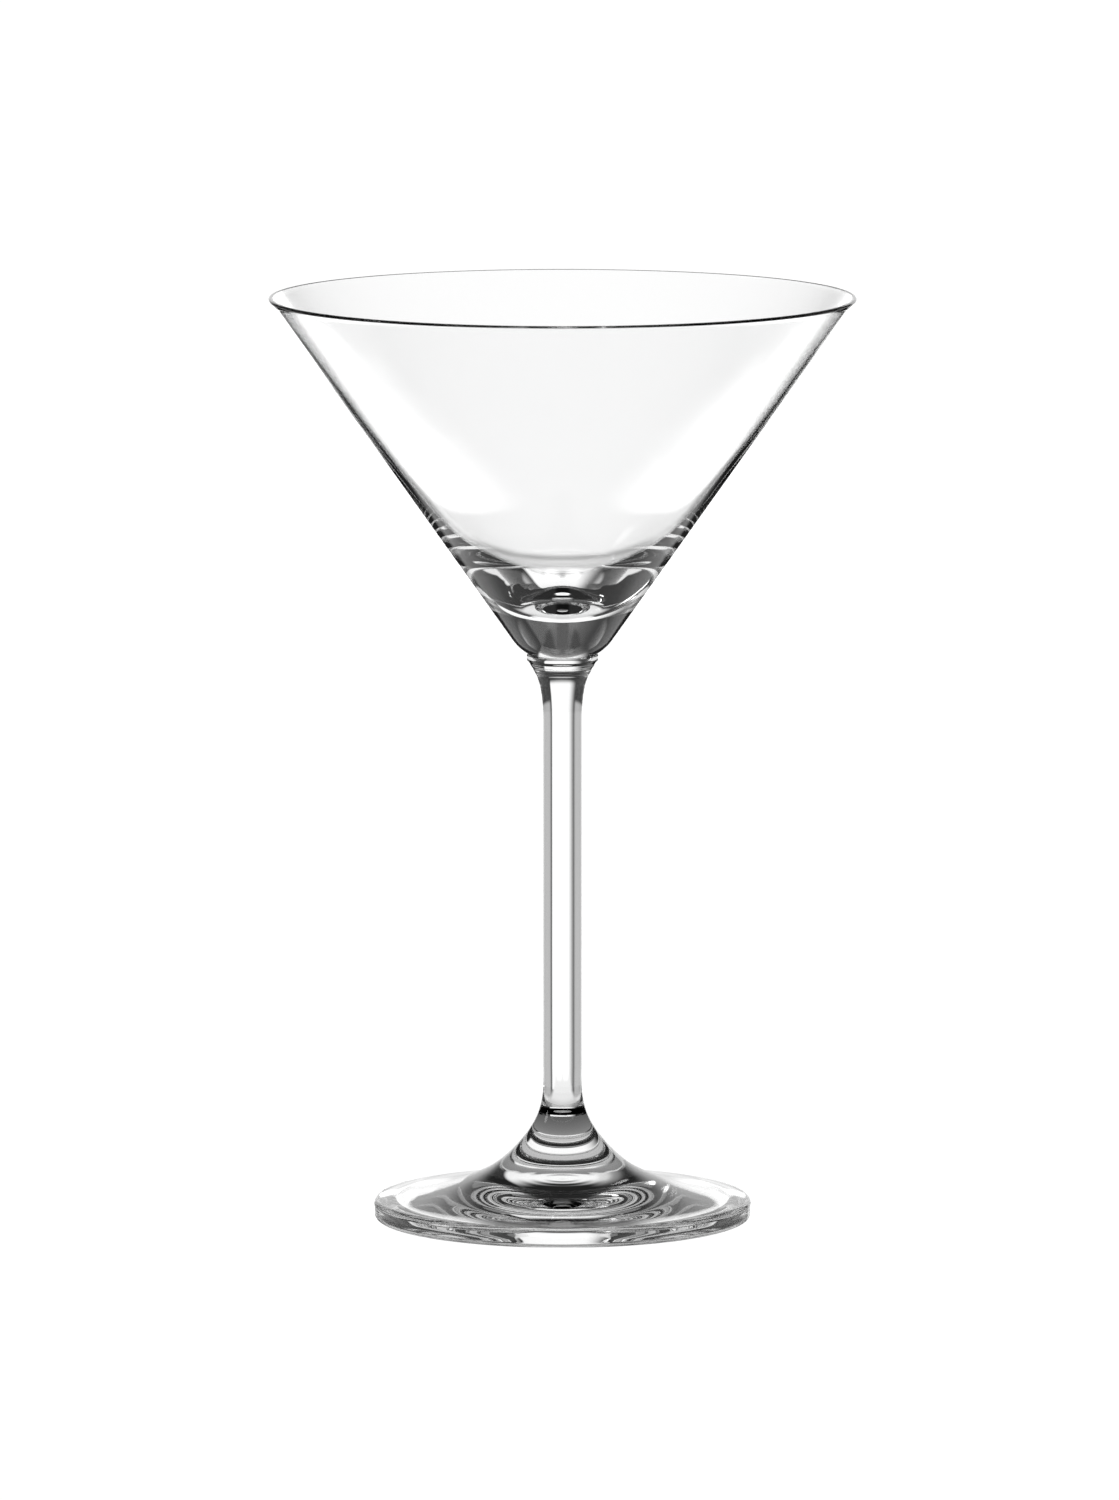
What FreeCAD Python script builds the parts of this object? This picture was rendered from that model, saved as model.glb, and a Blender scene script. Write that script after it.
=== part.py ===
import FreeCAD, Part
import math
import os
from FreeCAD import Vector

# A martini glass in clear crystal: a blown conical bowl, a drawn stem with a flared head, and a
# pressed foot. The three pieces are fused face to face while hot, so they meet on two flat discs.
# The origin is the middle of the circle that the foot stands on, and +Z runs up the stem.

# Bowl: a straight cone on a rounded shoulder, closed by a thick solid base.
RIM_R = 58.2              # largest radius, at the rounded lip
RIM_WALL = 1.05           # wall at the lip, measured level
CONE_R, CONE_Z = 11.43, 118.16
CONE_SLOPE = 0.7117       # outer wall's run outwards for each millimetre up
SHOULDER_R = 10.6         # rounding between the cone and the joint with the stem
SHOULDER_TOP_Z = 116.2
CAVITY_Z = 123.4          # deepest point of the cavity

# Stem: a straight rod that widens into a collar under the bowl and into the foot.
BOWL_JOINT_Z = 113.0
HEAD_R = 7.1              # collar under the bowl
HEAD_EDGE = 0.9           # its short upright edge
ROD_R = 3.87
FOOT_JOINT_Z = 21.0
FOOT_JOINT_R = 4.9

# Foot: a disc that rises to the stem, hollowed underneath so that only its outer ring touches.
FOOT_R = 37.7
EDGE_Z = 4.0              # top of the rounded edge
EDGE_ROUND = 1.1
REST_OUTER_R = 36.6       # the flat ring that the glass stands on
REST_INNER_R = 32.6
HOLLOW_Z = 2.4            # rise of the hollow at its middle


def at(r, z):
    return Vector(r, 0, z)


def line(a, b):
    return Part.makeLine(at(*a), at(*b))


def arc(a, mid, b):
    return Part.Arc(at(*a), at(*mid), at(*b)).toShape()


def curve(points, start, end):
    """One smooth curve through the points, leaving and arriving along the given directions."""
    spline = Part.BSplineCurve()
    spline.interpolate(Points=[at(*p) for p in points],
                       InitialTangent=at(*start), FinalTangent=at(*end))
    return spline.toShape()


def turned(edges):
    """The solid swept by a closed half outline that starts and ends on the axis."""
    face = Part.Face(Part.Wire(edges))
    return face.revolve(Vector(0, 0, 0), Vector(0, 0, 1), 360)


def cone_r(z):
    """Radius of the bowl's outer wall at a height."""
    return CONE_R + (z - CONE_Z) * CONE_SLOPE


def off(point, distance, angle):
    return (point[0] + distance * math.cos(angle), point[1] + distance * math.sin(angle))


def bowl():
    half_angle = math.atan(CONE_SLOPE)
    # The shoulder is tangent to the cone at its top and meets the joint disc at its foot.
    tangent = (cone_r(SHOULDER_TOP_Z), SHOULDER_TOP_Z)
    centre = off(tangent, SHOULDER_R, math.pi - half_angle)
    joint_turn = -math.asin((centre[1] - BOWL_JOINT_Z) / SHOULDER_R)
    joint = off(centre, SHOULDER_R, joint_turn)

    # The lip is a half round as thick as the wall, square to the cone.
    lip_r = RIM_WALL * math.cos(half_angle) / 2
    outer_r = RIM_R - lip_r * (1 - math.cos(half_angle))
    lip_outer = (outer_r, CONE_Z + (outer_r - CONE_R) / CONE_SLOPE)
    lip = off(lip_outer, lip_r, math.pi - half_angle)
    lip_inner = off(lip, lip_r, math.pi - half_angle)
    # The wall thickens slowly downwards, then rounds into the shallow bottom of the cavity.
    cavity = [lip_inner, (50.0, 174.0), (40.0, 160.2), (30.0, 146.7),
              (23.0, 138.0), (18.0, 133.1), (13.0, 129.0), (9.0, 126.1), (4.5, 124.1), (0.0, CAVITY_Z)]
    return turned([
        line((0, BOWL_JOINT_Z), joint),
        arc(joint, off(centre, SHOULDER_R, (joint_turn - half_angle) / 2), tangent),
        line(tangent, lip_outer),
        arc(lip_outer, off(lip, lip_r, math.pi / 2 - half_angle), lip_inner),
        curve(cavity, (-CONE_SLOPE, -1.0), (-1.0, 0.0)),
        line((0, CAVITY_Z), (0, BOWL_JOINT_Z)),
    ])


def stem():
    edge_z = BOWL_JOINT_Z - HEAD_EDGE
    head = [(ROD_R, 98.0), (4.0, 103.5), (4.4, 106.4), (5.05, 108.6), (6.0, 110.4), (HEAD_R, edge_z)]
    tail = [(FOOT_JOINT_R, FOOT_JOINT_Z), (3.95, 25.0), (ROD_R, 32.0)]
    return turned([
        line((0, FOOT_JOINT_Z), tail[0]),
        curve(tail, (-0.4, 1.0), (0.0, 1.0)),
        line(tail[-1], head[0]),
        curve(head, (0.0, 1.0), (0.8, 1.0)),
        line(head[-1], (HEAD_R, BOWL_JOINT_Z)),
        line((HEAD_R, BOWL_JOINT_Z), (0, BOWL_JOINT_Z)),
        line((0, BOWL_JOINT_Z), (0, FOOT_JOINT_Z)),
    ])


def foot():
    edge_r = FOOT_R - EDGE_ROUND
    dip = EDGE_ROUND * (1 - math.sqrt(0.5))
    slope = [(FOOT_JOINT_R, FOOT_JOINT_Z), (6.8, 17.5), (9.3, 14.4), (13.0, 11.0), (19.7, 7.6),
             (28.0, 5.5), (edge_r, EDGE_Z)]
    hollow = [(REST_INNER_R, 0.0), (17.0, 1.7), (0.0, HOLLOW_Z)]
    return turned([
        line((0, FOOT_JOINT_Z), slope[0]),
        curve(slope, (0.4, -1.0), (1.0, -0.12)),
        arc(slope[-1], (FOOT_R - dip, EDGE_Z - dip - 0.1), (FOOT_R, EDGE_Z - EDGE_ROUND - 0.1)),
        line((FOOT_R, EDGE_Z - EDGE_ROUND - 0.1), (FOOT_R, EDGE_ROUND)),
        arc((FOOT_R, EDGE_ROUND), (FOOT_R - dip, dip), (REST_OUTER_R, 0.0)),
        line((REST_OUTER_R, 0.0), hollow[0]),
        curve(hollow, (-1.0, 0.15), (-1.0, 0.0)),
        line((0, HOLLOW_Z), (0, FOOT_JOINT_Z)),
    ])


os.makedirs("parts", exist_ok=True)
for name, shape in (("bowl", bowl()), ("stem", stem()), ("foot", foot())):
    shape.exportStep("parts/%s.step" % name)
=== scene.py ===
import math

import bpy
import numpy as np
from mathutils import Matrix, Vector


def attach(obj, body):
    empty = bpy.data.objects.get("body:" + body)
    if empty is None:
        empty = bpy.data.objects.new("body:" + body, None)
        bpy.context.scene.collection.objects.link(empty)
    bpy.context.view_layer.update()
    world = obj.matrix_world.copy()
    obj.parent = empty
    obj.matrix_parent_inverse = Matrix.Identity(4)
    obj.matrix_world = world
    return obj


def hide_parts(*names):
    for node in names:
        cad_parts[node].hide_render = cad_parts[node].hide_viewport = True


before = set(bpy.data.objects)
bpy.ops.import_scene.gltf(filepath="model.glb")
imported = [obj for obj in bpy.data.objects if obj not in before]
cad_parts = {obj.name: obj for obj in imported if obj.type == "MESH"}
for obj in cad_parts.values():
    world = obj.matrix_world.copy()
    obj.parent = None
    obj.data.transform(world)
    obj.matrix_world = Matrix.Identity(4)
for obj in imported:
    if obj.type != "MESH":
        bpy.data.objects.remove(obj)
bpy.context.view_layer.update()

MM = 0.001


# Bowl: a straight-sided cone blown in clear crystal, thin at the fire-polished rim and solid at its
# base. Its underside is pressed flat on the stem's head and fused there.
RIM_R = 58.2              # largest radius, at the lip
RIM_WALL = 1.05           # wall at the lip, measured level
CONE_SLOPE = 0.7117       # outer wall's run outwards for each millimetre up
CONE_R, CONE_Z = 11.43, 118.16      # one point of the outer wall
SHOULDER_R = 10.6         # rounding between the cone and the joint with the stem
SHOULDER_TOP_Z = 116.2
BOWL_JOINT_Z = 113.0
THICKENING = 0.0008       # how fast the inner wall draws in below the lip, per millimetre
DISH_Z = 123.3            # bottom of the cavity, a shallow dish
DISH_R = 16.0
DISH_EDGE = 12.0          # beyond this radius the dish runs straight
DISH_BLEND = 3.0          # rounding between the dish and the wall
RING_HEIGHT = 0.006       # faint rings that pressing leaves in the bottom
RING_SPACING = 1.7
RING_REACH = 6.5          # radius at which they fade
FINE_R = 30.0             # the cavity's outline is stepped more closely inside this radius
WAVE_HEIGHT = 0.00003     # slow waves in the surface of all the glass, in metres
WAVES_PER_METRE = 60.0


def straight(a, b, steps):
    """Points along a straight run of a half outline, its end left out."""
    return [tuple(np.add(a, np.multiply(np.subtract(b, a), i / steps))) for i in range(steps)]


def round_run(centre, radius, from_deg, to_deg, steps):
    """Points along a circular run of a half outline, its end left out."""
    turns = [math.radians(from_deg + (to_deg - from_deg) * i / steps) for i in range(steps)]
    return [(centre[0] + radius * math.cos(t), centre[1] + radius * math.sin(t)) for t in turns]


def flowing(points, start, end, steps):
    """Points along one curve of steady bending through the given points, its end left out."""
    p = np.array(points, float)
    t = np.concatenate([[0.0], np.cumsum(np.linalg.norm(np.diff(p, axis=0), axis=1))])
    h, n = np.diff(t), len(points)
    a, b = np.zeros((n, n)), np.zeros((n, 2))
    a[0, 0] = a[-1, -1] = 1.0
    b[0], b[-1] = np.divide(start, np.linalg.norm(start)), np.divide(end, np.linalg.norm(end))
    for i in range(1, n - 1):
        a[i, i - 1:i + 2] = h[i], 2 * (h[i - 1] + h[i]), h[i - 1]
        b[i] = 3 * (h[i] * (p[i] - p[i - 1]) / h[i - 1] + h[i - 1] * (p[i + 1] - p[i]) / h[i])
    way = np.linalg.solve(a, b)
    out = []
    for s in np.linspace(0.0, t[-1], steps, endpoint=False):
        i = min(int(np.searchsorted(t, s, side="right")) - 1, n - 2)
        u = (s - t[i]) / h[i]
        out.append(tuple((1 + 2 * u) * (1 - u) ** 2 * p[i] + u * (1 - u) ** 2 * h[i] * way[i]
                         + u * u * (3 - 2 * u) * p[i + 1] + u * u * (u - 1) * h[i] * way[i + 1]))
    return out


def half_outline(name, runs, end):
    """A line mesh in metres from runs of (points, waviness, fused), with those two as attributes."""
    points = [p for run in runs for p in run[0]] + [end]
    waviness = [run[1] for run in runs for _ in run[0]] + [runs[-1][1]]
    fused = [run[2] for run in runs for _ in run[0]] + [runs[-1][2]]
    mesh = bpy.data.meshes.new(name)
    mesh.from_pydata([(r * MM, 0.0, z * MM) for r, z in points],
                     [(i, i + 1) for i in range(len(points) - 1)], [])
    mesh.attributes.new("waviness", "FLOAT", "POINT").data.foreach_set("value", waviness)
    mesh.attributes.new("fused", "FLOAT", "POINT").data.foreach_set("value", fused)
    piece = bpy.data.objects.new(name, mesh)
    bpy.context.collection.objects.link(piece)
    return piece


def turning_tree():
    """Geometry nodes that turn a half outline about the vertical axis into closed glass."""
    tree = bpy.data.node_groups.new("turned_glass", "GeometryNodeTree")
    socket = tree.interface.new_socket
    socket("Outline", in_out="INPUT", socket_type="NodeSocketGeometry")
    for name, kind, value in (("Around", "NodeSocketInt", 256), ("Wave Height", "NodeSocketFloat", 0.0),
                              ("Waves per Metre", "NodeSocketFloat", 40.0),
                              ("Wave Seed", "NodeSocketFloat", 0.0), ("Cord Height", "NodeSocketFloat", 0.0),
                              ("Cord Reach", "NodeSocketFloat", 0.005)):
        socket(name, in_out="INPUT", socket_type=kind).default_value = value
    socket("Cord Spot", in_out="INPUT", socket_type="NodeSocketVector")
    socket("Glass", in_out="INPUT", socket_type="NodeSocketMaterial")
    socket("Fused Joint", in_out="INPUT", socket_type="NodeSocketMaterial")
    socket("Glass", in_out="OUTPUT", socket_type="NodeSocketGeometry")
    new, link = tree.nodes.new, tree.links.new
    given, made = new("NodeGroupInput"), new("NodeGroupOutput")

    def math_node(operation, a, b=None):
        node = new("ShaderNodeMath")
        node.operation = operation
        for slot_in, value in zip(node.inputs, (a, b)):
            if isinstance(value, (int, float)):
                slot_in.default_value = value
            elif value is not None:
                link(value, slot_in)
        return node.outputs[0]

    def sampled(kind, value, index):
        node = new("GeometryNodeSampleIndex")
        node.data_type = kind
        node.domain = "POINT"
        link(given.outputs["Outline"], node.inputs["Geometry"])
        link(value, next(s for s in node.inputs if s.name == "Value" and s.enabled))
        link(index, node.inputs["Index"])
        return next(s for s in node.outputs if s.enabled)

    def named(name):
        node = new("GeometryNodeInputNamedAttribute")
        node.data_type = "FLOAT"
        node.inputs["Name"].default_value = name
        return next(s for s in node.outputs if s.enabled and s.name == "Attribute")

    size = new("GeometryNodeAttributeDomainSize")
    link(given.outputs["Outline"], size.inputs[0])
    grid = new("GeometryNodeMeshGrid")
    grid.inputs["Size X"].default_value = grid.inputs["Size Y"].default_value = 1.0
    link(math_node("ADD", given.outputs["Around"], 1), grid.inputs["Vertices X"])
    link(size.outputs["Point Count"], grid.inputs["Vertices Y"])
    place = new("ShaderNodeSeparateXYZ")
    link(new("GeometryNodeInputPosition").outputs[0], place.inputs[0])
    last = math_node("SUBTRACT", size.outputs["Point Count"], 1)
    row = math_node("ROUND", math_node("MULTIPLY", math_node("ADD", place.outputs[1], 0.5), last))
    angle = math_node("MULTIPLY", math_node("ADD", place.outputs[0], 0.5), 2 * math.pi)

    spot = new("ShaderNodeSeparateXYZ")
    link(sampled("FLOAT_VECTOR", new("GeometryNodeInputPosition").outputs[0], row), spot.inputs[0])
    turned = new("ShaderNodeCombineXYZ")
    link(math_node("MULTIPLY", spot.outputs[0], math_node("COSINE", angle)), turned.inputs[0])
    link(math_node("MULTIPLY", spot.outputs[0], math_node("SINE", angle)), turned.inputs[1])
    link(spot.outputs[2], turned.inputs[2])

    keep = new("GeometryNodeStoreNamedAttribute")
    keep.data_type, keep.domain = "FLOAT", "POINT"
    keep.inputs["Name"].default_value = "waviness"
    link(grid.outputs[0], keep.inputs["Geometry"])
    link(sampled("FLOAT", named("waviness"), row), next(s for s in keep.inputs
                                                       if s.name == "Value" and s.enabled))
    keep_fused = new("GeometryNodeStoreNamedAttribute")
    keep_fused.data_type, keep_fused.domain = "FLOAT", "POINT"
    keep_fused.inputs["Name"].default_value = "fused"
    link(keep.outputs[0], keep_fused.inputs["Geometry"])
    link(sampled("FLOAT", named("fused"), row), next(s for s in keep_fused.inputs
                                                    if s.name == "Value" and s.enabled))
    shaped = new("GeometryNodeSetPosition")
    link(keep_fused.outputs[0], shaped.inputs["Geometry"])
    link(turned.outputs[0], shaped.inputs["Position"])
    weld = new("GeometryNodeMergeByDistance")
    weld.inputs["Distance"].default_value = 1e-6
    link(shaped.outputs[0], weld.inputs[0])

    # Hot glass never cools quite true: the surface is pushed in and out by a slow noise.
    noise = new("ShaderNodeTexNoise")
    noise.noise_dimensions = "4D"
    noise.inputs["Detail"].default_value = 1.0
    link(given.outputs["Waves per Metre"], noise.inputs["Scale"])
    link(given.outputs["Wave Seed"], noise.inputs["W"])
    push = math_node("MULTIPLY", math_node("SUBTRACT", noise.outputs[0], 0.5),
                     math_node("MULTIPLY", given.outputs["Wave Height"], named("waviness")))

    # One cord of stiffer glass may stand a little proud around a single spot.
    reach = new("ShaderNodeVectorMath")
    reach.operation = "DISTANCE"
    link(new("GeometryNodeInputPosition").outputs[0], reach.inputs[0])
    link(given.outputs["Cord Spot"], reach.inputs[1])
    nearby = new("ShaderNodeMapRange")
    nearby.interpolation_type = "SMOOTHSTEP"
    link(reach.outputs["Value"], nearby.inputs["Value"])
    link(given.outputs["Cord Reach"], nearby.inputs["From Max"])
    nearby.inputs["To Min"].default_value, nearby.inputs["To Max"].default_value = 1.0, 0.0
    cord = new("ShaderNodeTexNoise")
    cord.inputs["Scale"].default_value = 380.0
    cord.inputs["Detail"].default_value = 1.0
    cord.inputs["Distortion"].default_value = 0.6
    proud = math_node("MULTIPLY", math_node("SUBTRACT", cord.outputs[0], 0.5),
                      math_node("MULTIPLY", given.outputs["Cord Height"], nearby.outputs[0]))
    push = math_node("ADD", push, proud)
    along = new("ShaderNodeVectorMath")
    along.operation = "SCALE"
    link(new("GeometryNodeInputNormal").outputs[0], along.inputs[0])
    link(push, along.inputs["Scale"])
    wavy = new("GeometryNodeSetPosition")
    link(weld.outputs[0], wavy.inputs["Geometry"])
    link(along.outputs[0], wavy.inputs["Offset"])

    # Corners sharper than 30 degrees stay crisp, the rest is fire-polished smooth.
    smooth = new("GeometryNodeSetShadeSmooth")
    link(wavy.outputs[0], smooth.inputs["Geometry"])
    crisp = new("GeometryNodeSetShadeSmooth")
    crisp.domain = "EDGE"
    crisp.inputs["Shade Smooth"].default_value = False
    link(smooth.outputs[0], crisp.inputs["Geometry"])
    link(math_node("GREATER_THAN", new("GeometryNodeInputMeshEdgeAngle").outputs[0], math.radians(30)),
         crisp.inputs["Selection"])
    real = new("GeometryNodeRealizeInstances")
    link(crisp.outputs[0], real.inputs[0])
    clear = new("GeometryNodeSetMaterial")
    link(real.outputs[0], clear.inputs["Geometry"])
    link(given.outputs["Glass"], clear.inputs["Material"])
    joint = new("GeometryNodeSetMaterial")
    link(clear.outputs[0], joint.inputs["Geometry"])
    link(given.outputs["Fused Joint"], joint.inputs["Material"])
    link(math_node("GREATER_THAN", named("fused"), 0.99), joint.inputs["Selection"])
    link(joint.outputs[0], made.inputs[0])
    return tree


turned_glass = turning_tree()


def turn(piece, node, material_slot, **sizes):
    """Turns a half outline into the finished mesh of one piece, hides the CAD node it stands in for and hangs
    the piece on the root body.
    """
    modifier = piece.modifiers.new("turned_glass", "NODES")
    modifier.node_group = turned_glass
    for item in turned_glass.interface.items_tree:
        if item.in_out == "INPUT" and item.name in sizes:
            modifier[item.identifier] = sizes[item.name]
    evaluated = piece.evaluated_get(bpy.context.evaluated_depsgraph_get())
    mesh = bpy.data.meshes.new_from_object(evaluated)
    piece.modifiers.clear()
    outline, piece.data = piece.data, mesh
    bpy.data.meshes.remove(outline)
    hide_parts(node)
    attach(piece, "root")
    return piece


def striae_tree():
    """Shader group: the faint streaks that stirring, blowing and drawing leave in clear glass."""
    tree = bpy.data.node_groups.new("glass_striae", "ShaderNodeTree")
    socket = tree.interface.new_socket
    for name, kind, value in (("Tint", "NodeSocketColor", (1.0, 1.0, 1.0, 1.0)),
                              ("Streaks per Metre", "NodeSocketVector", (60.0, 60.0, 60.0)),
                              ("Streak Depth", "NodeSocketFloat", 0.02), ("Seed", "NodeSocketFloat", 0.0)):
        socket(name, in_out="INPUT", socket_type=kind).default_value = value
    socket("Colour", in_out="OUTPUT", socket_type="NodeSocketColor")
    socket("Height", in_out="OUTPUT", socket_type="NodeSocketFloat")
    new, link = tree.nodes.new, tree.links.new
    given, made = new("NodeGroupInput"), new("NodeGroupOutput")
    stretch = new("ShaderNodeVectorMath")
    stretch.operation = "MULTIPLY"
    link(new("ShaderNodeTexCoord").outputs["Object"], stretch.inputs[0])
    link(given.outputs["Streaks per Metre"], stretch.inputs[1])
    streaks = new("ShaderNodeTexNoise")
    streaks.noise_dimensions = "4D"
    streaks.inputs["Scale"].default_value = 1.0
    streaks.inputs["Detail"].default_value = 3.0
    streaks.inputs["Distortion"].default_value = 0.5
    link(stretch.outputs[0], streaks.inputs["Vector"])
    link(given.outputs["Seed"], streaks.inputs["W"])
    dimmed = new("ShaderNodeMath")
    dimmed.operation = "MULTIPLY"
    link(streaks.outputs[0], dimmed.inputs[0])
    link(given.outputs["Streak Depth"], dimmed.inputs[1])
    clear = new("ShaderNodeMath")
    clear.operation = "SUBTRACT"
    clear.inputs[0].default_value = 1.0
    link(dimmed.outputs[0], clear.inputs[1])
    shade = new("ShaderNodeVectorMath")
    shade.operation = "SCALE"
    link(given.outputs["Tint"], shade.inputs[0])
    link(clear.outputs[0], shade.inputs["Scale"])
    link(shade.outputs[0], made.inputs["Colour"])
    link(streaks.outputs[0], made.inputs["Height"])
    return tree


glass_striae = striae_tree()


def crystal(name, tint, streaks, depth, seed, ripple=0.0, ior=1.52):
    """Clear glass with its own run of striae, rippled by them to the given depth in metres."""
    material = bpy.data.materials.new(name)
    material.use_nodes = True
    nodes, link = material.node_tree.nodes, material.node_tree.links.new
    glass = nodes["Principled BSDF"]
    glass.inputs["Roughness"].default_value = 0.0
    glass.inputs["IOR"].default_value = ior
    glass.inputs["Transmission Weight"].default_value = 1.0
    striae = nodes.new("ShaderNodeGroup")
    striae.node_tree = glass_striae
    striae.inputs["Tint"].default_value = (*tint, 1.0)
    striae.inputs["Streaks per Metre"].default_value = streaks
    striae.inputs["Streak Depth"].default_value = depth
    striae.inputs["Seed"].default_value = seed
    link(striae.outputs["Colour"], glass.inputs["Base Color"])
    if ripple:
        bump = nodes.new("ShaderNodeBump")
        bump.inputs["Distance"].default_value = ripple
        link(striae.outputs["Height"], bump.inputs["Height"])
        link(bump.outputs[0], glass.inputs["Normal"])
    return material


fused_joint = crystal("fused_joint", tint=(1.0, 1.0, 1.0), streaks=(300.0, 300.0, 300.0), depth=0.01,
                      seed=2.0, ior=1.0)

half_angle = math.degrees(math.atan(CONE_SLOPE))


def cone_r(z):
    """Radius of the bowl's outer wall at a height."""
    return CONE_R + (z - CONE_Z) * CONE_SLOPE


def off(point, distance, degrees):
    """The point that lies this far from another in the given direction."""
    return (point[0] + distance * math.cos(math.radians(degrees)),
            point[1] + distance * math.sin(math.radians(degrees)))


shoulder_top = (cone_r(SHOULDER_TOP_Z), SHOULDER_TOP_Z)
shoulder_centre = off(shoulder_top, SHOULDER_R, 180 - half_angle)
drop = shoulder_centre[1] - BOWL_JOINT_Z
joint_r = shoulder_centre[0] + math.sqrt(SHOULDER_R ** 2 - drop ** 2)
joint_deg = -math.degrees(math.asin(drop / SHOULDER_R))

lip_r = 0.5 * RIM_WALL * math.cos(math.radians(half_angle))
lip_outer_r = RIM_R - lip_r + lip_r * math.cos(math.radians(half_angle))
lip_outer = (lip_outer_r, CONE_Z + (lip_outer_r - CONE_R) / CONE_SLOPE)
lip_centre = off(lip_outer, lip_r, 180 - half_angle)
lip_inner = off(lip_centre, lip_r, 180 - half_angle)


def rings(r, height, spacing, reach):
    """Rise of faint round rings about the axis, which fade outwards."""
    return height * math.cos(2 * math.pi * r / spacing) * math.exp(-(r / reach) ** 4)


def cavity_z(r):
    """Height of the cavity's surface: the wall's cone running into the dish with a soft rounding."""
    inward = lip_inner[0] - r
    wall = lip_inner[1] - inward / CONE_SLOPE + THICKENING * inward ** 2
    rise = r * r / 2 if r < DISH_EDGE else r * DISH_EDGE - DISH_EDGE ** 2 / 2
    dish = DISH_Z + rise / DISH_R
    blended = 0.5 * (wall + dish + math.hypot(wall - dish, DISH_BLEND))
    return blended + rings(r, RING_HEIGHT, RING_SPACING, RING_REACH)


def lined(from_r, to_r, steps):
    """Points along the cavity's surface from one radius to another, the end left out."""
    reach = [from_r + (to_r - from_r) * i / steps for i in range(steps)]
    return [(r, cavity_z(r)) for r in reach]


bowl_outline = half_outline("bowl_glass", [
    (straight((0.0, BOWL_JOINT_Z), (joint_r, BOWL_JOINT_Z), 5), 0.0, 1.0),
    (round_run(shoulder_centre, SHOULDER_R, joint_deg, -half_angle, 10), 0.2, 0.0),
    (straight(shoulder_top, lip_outer, 80), 1.0, 0.0),
    (round_run(lip_centre, lip_r, -half_angle, 180 - half_angle, 14), 0.0, 0.0),
    (lined(lip_inner[0], FINE_R, 30), 1.0, 0.0),
    (lined(FINE_R, 0.0, 110), 1.0, 0.0),
], (0.0, cavity_z(0.0)))
bowl_crystal = crystal("bowl_crystal", tint=(0.995, 0.996, 0.996), streaks=(25.0, 25.0, 60.0), depth=0.016,
                       seed=3.0, ripple=0.000008)
turn(bowl_outline, "bowl", "bowl_glass", **{
    "Around": 256, "Wave Height": WAVE_HEIGHT, "Waves per Metre": WAVES_PER_METRE, "Wave Seed": 3.0,
    "Cord Height": 0.0004, "Cord Spot": (0.0065, 0.006, 0.128), "Cord Reach": 0.005,
    "Glass": bowl_crystal, "Fused Joint": fused_joint})


# Stem: a straight rod of the same crystal, drawn while hot, flared into a collar under the bowl and
# into a short skirt where the foot is fused on.
HEAD_R = 7.1              # the collar under the bowl
HEAD_EDGE = 0.9           # its short upright edge
ROD_R = 3.87
FOOT_JOINT_Z = 21.0
JOINT_CLEAR = 0.05        # points of the sweep closer to the joint than this are left out
COLLAR_RIPPLE = 0.04      # shallow rings round the collar
COLLAR_SPACING = 1.1
COLLAR_RIPPLE_Z = 110.9   # where they are deepest
COLLAR_REACH = 1.2        # how far above and below that they fade

FLARE = [(ROD_R, 32.0), (3.95, 25.0), (4.9, 21.0), (6.8, 17.5), (9.3, 14.4), (13.0, 11.0), (19.7, 7.6),
         (28.0, 5.5), (36.6, 4.0)]     # stem's skirt and foot's slope, one unbroken sweep

edge_z = BOWL_JOINT_Z - HEAD_EDGE
sweep = flowing(FLARE, (0.0, -1.0), (1.0, -0.12), 240)
skirt = [p for p in sweep if p[1] > FOOT_JOINT_Z + JOINT_CLEAR]
foot_joint = (float(np.interp(-FOOT_JOINT_Z, [-p[1] for p in sweep], [p[0] for p in sweep])), FOOT_JOINT_Z)
head = [(ROD_R, 98.0), (4.0, 103.5), (4.4, 106.4), (5.05, 108.6), (6.0, 110.4), (HEAD_R, edge_z)]


def rippled(r, z):
    """A point of the collar's profile, drawn in where its shallow rings are."""
    depth = COLLAR_RIPPLE * (1 - math.cos(2 * math.pi * (z - edge_z) / COLLAR_SPACING))
    return r - depth * math.exp(-((z - COLLAR_RIPPLE_Z) / COLLAR_REACH) ** 4), z


collar = [rippled(r, z) for r, z in flowing(head, (0.0, 1.0), (0.8, 1.0), 90)]
stem_outline = half_outline("stem_glass", [
    (straight((0.0, FOOT_JOINT_Z), foot_joint, 4), 0.0, 1.0),
    ([foot_joint] + skirt[::-1], 0.3, 0.0),
    (straight(FLARE[0], head[0], 60), 1.0, 0.0),
    (collar, 0.3, 0.0),
    (straight(head[-1], (HEAD_R, BOWL_JOINT_Z), 2), 0.0, 0.0),
    (straight((HEAD_R, BOWL_JOINT_Z), (0.0, BOWL_JOINT_Z), 5), 0.0, 1.0),
], (0.0, BOWL_JOINT_Z))
stem_crystal = crystal("stem_crystal", tint=(0.99, 0.991, 0.991), streaks=(420.0, 420.0, 14.0), depth=0.03,
                       seed=8.0, ripple=0.000006)
turn(stem_outline, "stem", "stem_glass", **{
    "Around": 128, "Wave Height": WAVE_HEIGHT, "Waves per Metre": WAVES_PER_METRE, "Wave Seed": 8.0,
    "Glass": stem_crystal, "Fused Joint": fused_joint})


# Foot: a disc pressed in the same crystal that rises to the stem, with a rounded edge. It is hollowed
# underneath, so the glass stands on the outer ring alone.
FOOT_R = 37.7
EDGE_Z = 4.0              # top of the rounded edge
EDGE_ROUND = 1.1
EDGE_DROP = 0.1           # the upper rounding ends this much lower than a true quarter circle
REST_OUTER_R = 36.6       # the flat ring that the glass stands on
REST_INNER_R = 32.6
HOLLOW_Z = 2.4            # rise of the hollow at its middle
UNDER_RING_HEIGHT = 0.007
UNDER_RING_SPACING = 2.1
UNDER_RING_REACH = 8.0

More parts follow.
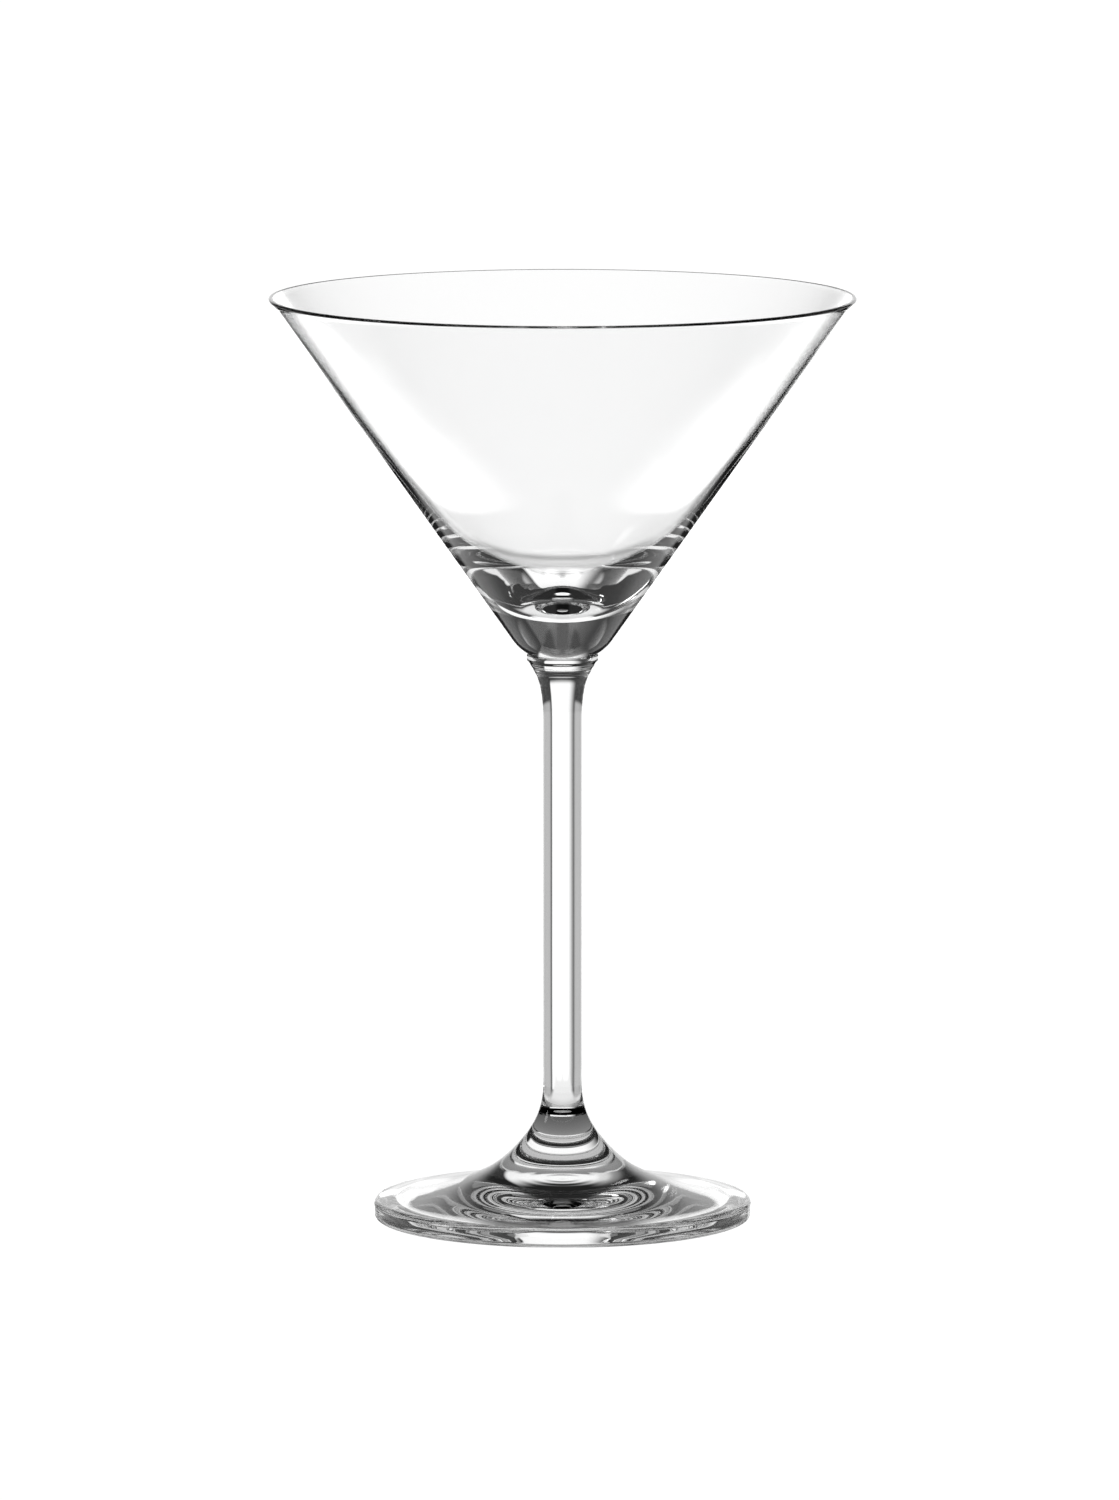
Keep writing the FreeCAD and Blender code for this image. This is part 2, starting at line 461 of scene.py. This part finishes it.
edge_r = FOOT_R - EDGE_ROUND
dip = EDGE_ROUND * (1 - math.sqrt(0.5))
slope = [p for p in sweep if p[1] < FOOT_JOINT_Z - JOINT_CLEAR]
upper = (FOOT_R, EDGE_Z - EDGE_ROUND - EDGE_DROP)
hollow = flowing([(0.0, HOLLOW_Z), (17.0, 1.7), (REST_INNER_R, 0.0)], (1.0, 0.0), (1.0, -0.15), 140)
underside = [(r, z + rings(r, UNDER_RING_HEIGHT, UNDER_RING_SPACING, UNDER_RING_REACH)) for r, z in hollow]
foot_outline = half_outline("foot_glass", [
    (underside, 1.0, 0.0),
    (straight((REST_INNER_R, 0.0), (REST_OUTER_R, 0.0), 3), 0.0, 0.0),
    (flowing([(REST_OUTER_R, 0.0), (FOOT_R - dip, dip), (FOOT_R, EDGE_ROUND)], (1.0, 0.0), (0.0, 1.0), 10),
     0.0, 0.0),
    (straight((FOOT_R, EDGE_ROUND), upper, 4), 0.0, 0.0),
    (flowing([upper, (FOOT_R - dip, EDGE_Z - dip - EDGE_DROP), (edge_r, EDGE_Z)], (0.0, 1.0), (-1.0, 0.12), 10),
     0.0, 0.0),
    ([(edge_r, EDGE_Z)] + slope[::-1], 1.0, 0.0),
    (straight(foot_joint, (0.0, FOOT_JOINT_Z), 4), 0.0, 1.0),
], (0.0, FOOT_JOINT_Z))
foot_crystal = crystal("foot_crystal", tint=(0.99, 0.991, 0.991), streaks=(90.0, 90.0, 90.0), depth=0.03,
                       seed=5.0, ripple=0.000008)
turn(foot_outline, "foot", "foot_glass", **{
    "Around": 256, "Wave Height": WAVE_HEIGHT, "Waves per Metre": WAVES_PER_METRE, "Wave Seed": 5.0,
    "Glass": foot_crystal, "Fused Joint": fused_joint})


# Table: a plain pale sheet, evenly lit, with the glass standing on it. Only the camera sees it, and
# what the glass bends comes from the tent and the paper runner instead.
PALE = 1.05               # brightness of the table and of the room behind it
TABLE_SIZE = 60.0
TABLE_Z = -0.0002


def glowing(name, strength=1.0):
    """A plain white material that gives off light, and its emission node."""
    material = bpy.data.materials.new(name)
    material.use_nodes = True
    nodes = material.node_tree.nodes
    nodes.remove(nodes["Principled BSDF"])
    glow = nodes.new("ShaderNodeEmission")
    glow.inputs["Color"].default_value = (1.0, 1.0, 1.0, 1.0)
    glow.inputs["Strength"].default_value = strength
    material.node_tree.links.new(glow.outputs[0], nodes["Material Output"].inputs["Surface"])
    return material, glow


bpy.ops.mesh.primitive_plane_add(size=TABLE_SIZE, location=(0.0, 0.0, TABLE_Z))
table = bpy.context.object
table.name = "table"
table.data.materials.append(glowing("lit_table", PALE)[0])
table.visible_glossy = table.visible_transmission = table.visible_diffuse = False


# Light tent: a shell of pale and dark cloth round the glass, fixed in the room, which only the glass
# sees. A bright panel hangs behind it with a dark gap on each side, and one pale sweep runs round the
# sides and the back at every azimuth. Spans are in degrees; azimuth 0 is straight behind the glass.
TENT_R = 20.0
TENT_MIDDLE_Z = 0.09      # height that elevations are taken from
DARK_CLOTH = 0.015
PANEL_GLOW = 1.08
PANEL_LEFT = (-28, -10)
PANEL_RIGHT = (22, 25)
PANEL_TOP = (12, 30)
PANEL_FOOT = (-15, -13.5)
TONGUE_SIDE = (7, 11)     # a narrow tongue of the panel hangs lower
TONGUE_FOOT = (-36, -26)
SWEEP_GLOW = 0.88
SWEEP_DIM = 0.45          # the sweep is dimmer beside the panel, except low down
SWEEP_SIDE = (24, 32)
SWEEP_FULL = (60, 75)
SWEEP_TOP = (-2, 1)
SWEEP_LOW = (-26, -20)
SWEEP_FOOT = (-52, -38)
WING_GLOW = 0.06          # low cloth at the sides
WING_SIDE = (34, 44)
WING_TOP = (-40, -25)
CEILING_GLOW = 0.04
CEILING = (50, 80)
FLOOR_GLOW = 0.4
PATCH_GLOW = 0.95         # a soft patch on each side of the panel's foot
PATCH_AT = (7.0, -10.5)
PATCH_EDGE = (3.0, 6.5)
SOFT_BOX_GLOW = 3.0
SOFT_BOX_AT = (-96, 24)
SOFT_BOX_EDGE = (5, 9)

bpy.ops.mesh.primitive_uv_sphere_add(segments=96, ring_count=48, radius=TENT_R, location=(0.0, 0.0, 0.0))
tent = bpy.context.object
tent.name = "light_tent"
tent.visible_camera = tent.visible_diffuse = tent.visible_shadow = False
tent_material, tent_glow = glowing("tent_walls")
tent.data.materials.append(tent_material)
nodes, link = tent_material.node_tree.nodes, tent_material.node_tree.links.new


def math_step(operation, a, b=None):
    """One sum in the material at hand, from numbers or other nodes' results."""
    node = nodes.new("ShaderNodeMath")
    node.operation = operation
    for slot_in, value in zip(node.inputs, (a, b)):
        if isinstance(value, (int, float)):
            slot_in.default_value = value
        elif value is not None:
            link(value, slot_in)
    return node.outputs[0]


def between(value, low, high, out_low, out_high):
    """Eases from one level to the other as the value goes from low to high."""
    node = nodes.new("ShaderNodeMapRange")
    node.interpolation_type = "SMOOTHSTEP"
    link(value, node.inputs["Value"])
    for name, v in (("From Min", low), ("From Max", high), ("To Min", out_low), ("To Max", out_high)):
        node.inputs[name].default_value = v
    return node.outputs[0]


def fade(angle, span, out_low, out_high):
    """The same for an angle that crosses a span of degrees."""
    return between(angle, math.radians(span[0]), math.radians(span[1]), out_low, out_high)


place = nodes.new("ShaderNodeTexCoord")
axes = nodes.new("ShaderNodeSeparateXYZ")
link(place.outputs["Object"], axes.inputs[0])
level = math_step("SQRT", math_step("ADD", math_step("MULTIPLY", axes.outputs[0], axes.outputs[0]),
                                    math_step("MULTIPLY", axes.outputs[1], axes.outputs[1])))
azimuth = math_step("ARCTAN2", axes.outputs[0], axes.outputs[1])
elevation = math_step("ARCTAN2", math_step("SUBTRACT", axes.outputs[2], TENT_MIDDLE_Z), level)
aside = math_step("ABSOLUTE", azimuth)


def away_from(angle, spot):
    """How far a direction lies from a spot given as azimuth and elevation in degrees."""
    return math_step("SQRT", math_step("ADD",
                     math_step("POWER", math_step("SUBTRACT", angle, math.radians(spot[0])), 2.0),
                     math_step("POWER", math_step("SUBTRACT", elevation, math.radians(spot[1])), 2.0)))


across = math_step("MULTIPLY", fade(azimuth, PANEL_LEFT, 0.0, 1.0), fade(azimuth, PANEL_RIGHT, 1.0, 0.0))
tongue = math_step("MULTIPLY", fade(aside, TONGUE_SIDE, 1.0, 0.0), fade(elevation, TONGUE_FOOT, 0.0, 1.0))
low = math_step("MAXIMUM", fade(elevation, PANEL_FOOT, 0.0, 1.0), tongue)
panel = math_step("MULTIPLY", across, math_step("MULTIPLY", fade(elevation, PANEL_TOP, 1.0, 0.0), low))
pale_sweep = math_step("MULTIPLY", fade(aside, SWEEP_SIDE, 0.0, 1.0), fade(elevation, SWEEP_TOP, 1.0, 0.0))
pale_sweep = math_step("MULTIPLY", pale_sweep, fade(elevation, SWEEP_FOOT, 0.0, 1.0))
pale_sweep = math_step("MULTIPLY", pale_sweep,
                       math_step("MAXIMUM", fade(aside, SWEEP_FULL, SWEEP_DIM, SWEEP_GLOW),
                                 fade(elevation, SWEEP_LOW, SWEEP_GLOW, SWEEP_DIM)))
wings = math_step("MULTIPLY", fade(aside, WING_SIDE, 0.0, 1.0), fade(elevation, WING_TOP, 1.0, 0.0))
patches = fade(away_from(aside, PATCH_AT), PATCH_EDGE, 1.0, 0.0)

glow = math_step("MULTIPLY", panel, PANEL_GLOW)
for zone in (math_step("ADD", fade(elevation, CEILING, 0.0, CEILING_GLOW), DARK_CLOTH),
             math_step("MULTIPLY", wings, WING_GLOW),
             math_step("MULTIPLY", patches, PATCH_GLOW),
             fade(elevation, SWEEP_FOOT, FLOOR_GLOW, 0.0),
             pale_sweep,
             fade(away_from(azimuth, SOFT_BOX_AT), SOFT_BOX_EDGE, SOFT_BOX_GLOW, 0.0)):
    glow = math_step("ADD", glow, zone)
link(glow, tent_glow.inputs["Strength"])


# Paper runner: a strip of pale paper that lies under the foot and widens away behind it, soft at its edges.
# Like the tent, only the glass sees it, and it lights the foot from below. Under the foot its glow is kept dim,
# a painted shadow of the glass standing on it, and it brightens further behind.
RUNNER_Z = -0.0001
RUNNER_NEAR, RUNNER_FAR = -0.05, 0.26
RUNNER_HALF = 0.025       # half its width at the axis
RUNNER_SPREAD = 0.2       # how much that grows for each metre away
SOFT_EDGE = 0.6           # share of the half width where it starts to fade
# Glow of the runner under the foot, kept dim there as a painted shadow of the glass, and its glow further
# behind
RUNNER_PAINTED_SHADE, RUNNER_GLOW = 0.12, 0.9
RUNNER_LIT = (0.0, 0.07)  # distances behind the axis over which the painted shade under the foot gives way to full glow
RUNNER_FADE = (0.15, 0.25)


def runner_half(y):
    """Half the strip's width at a distance behind the axis."""
    return RUNNER_HALF + RUNNER_SPREAD * y


paper = bpy.data.meshes.new("paper_runner")
paper.from_pydata([(-runner_half(RUNNER_NEAR), RUNNER_NEAR, 0.0), (runner_half(RUNNER_NEAR), RUNNER_NEAR, 0.0),
                   (runner_half(RUNNER_FAR), RUNNER_FAR, 0.0), (-runner_half(RUNNER_FAR), RUNNER_FAR, 0.0)],
                  [], [(0, 1, 2, 3)])
runner = bpy.data.objects.new("paper_runner", paper)
bpy.context.collection.objects.link(runner)
runner.location = (0.0, 0.0, RUNNER_Z)
runner.visible_camera = runner.visible_diffuse = runner.visible_shadow = False
runner_material, runner_glow = glowing("runner_paper")
paper.materials.append(runner_material)
nodes, link = runner_material.node_tree.nodes, runner_material.node_tree.links.new
place = nodes.new("ShaderNodeTexCoord")
axes = nodes.new("ShaderNodeSeparateXYZ")
link(place.outputs["Object"], axes.inputs[0])
half_width = math_step("ADD", math_step("MULTIPLY", axes.outputs[1], RUNNER_SPREAD), RUNNER_HALF)
across = math_step("DIVIDE", math_step("ABSOLUTE", axes.outputs[0]), half_width)
edge = between(across, SOFT_EDGE, 1.0, 1.0, 0.0)
# Dim under the foot as painted shade, brightening behind it
near = between(axes.outputs[1], *RUNNER_LIT, RUNNER_PAINTED_SHADE, RUNNER_GLOW)
end = between(axes.outputs[1], *RUNNER_FADE, 1.0, 0.0)
link(near, runner_glow.inputs["Strength"])
shown = nodes.new("ShaderNodeMixShader")
link(math_step("MULTIPLY", edge, end), shown.inputs[0])
link(nodes.new("ShaderNodeBsdfTransparent").outputs[0], shown.inputs[1])
link(runner_glow.outputs[0], shown.inputs[2])
link(shown.outputs[0], nodes["Material Output"].inputs["Surface"])


# Room: plain white all round, as bright as the table, so that the two run into each other with no
# horizon behind the glass.
world = bpy.context.scene.world or bpy.data.worlds.new("studio")
bpy.context.scene.world = world
world.use_nodes = True
world.node_tree.nodes["Background"].inputs["Color"].default_value = (1.0, 1.0, 1.0, 1.0)
world.node_tree.nodes["Background"].inputs["Strength"].default_value = PALE


# Camera: a long lens two and a half metres away that looks down by 7.6 degrees, aimed half way up the
# glass. Light passes many walls of glass before it leaves, so it is followed through all of them.
CAMERA_AT = Vector((-0.0006, -2.574, 0.438))
CAMERA_AIM = Vector((-0.0006, 0.0, 0.094))
BOUNCES = 64

camera = bpy.data.objects.new("camera", bpy.data.cameras.new("camera"))
bpy.context.collection.objects.link(camera)
camera.location = CAMERA_AT
camera.rotation_mode = "QUATERNION"
camera.rotation_quaternion = (CAMERA_AIM - CAMERA_AT).to_track_quat("-Z", "Y")
camera.data.sensor_width = 36.0
camera.data.lens = 313.6
camera.data.clip_end = 100.0
scene = bpy.context.scene
scene.camera = camera
scene.view_settings.view_transform = "Standard"
scene.cycles.max_bounces = scene.cycles.transmission_bounces = scene.cycles.glossy_bounces = BOUNCES
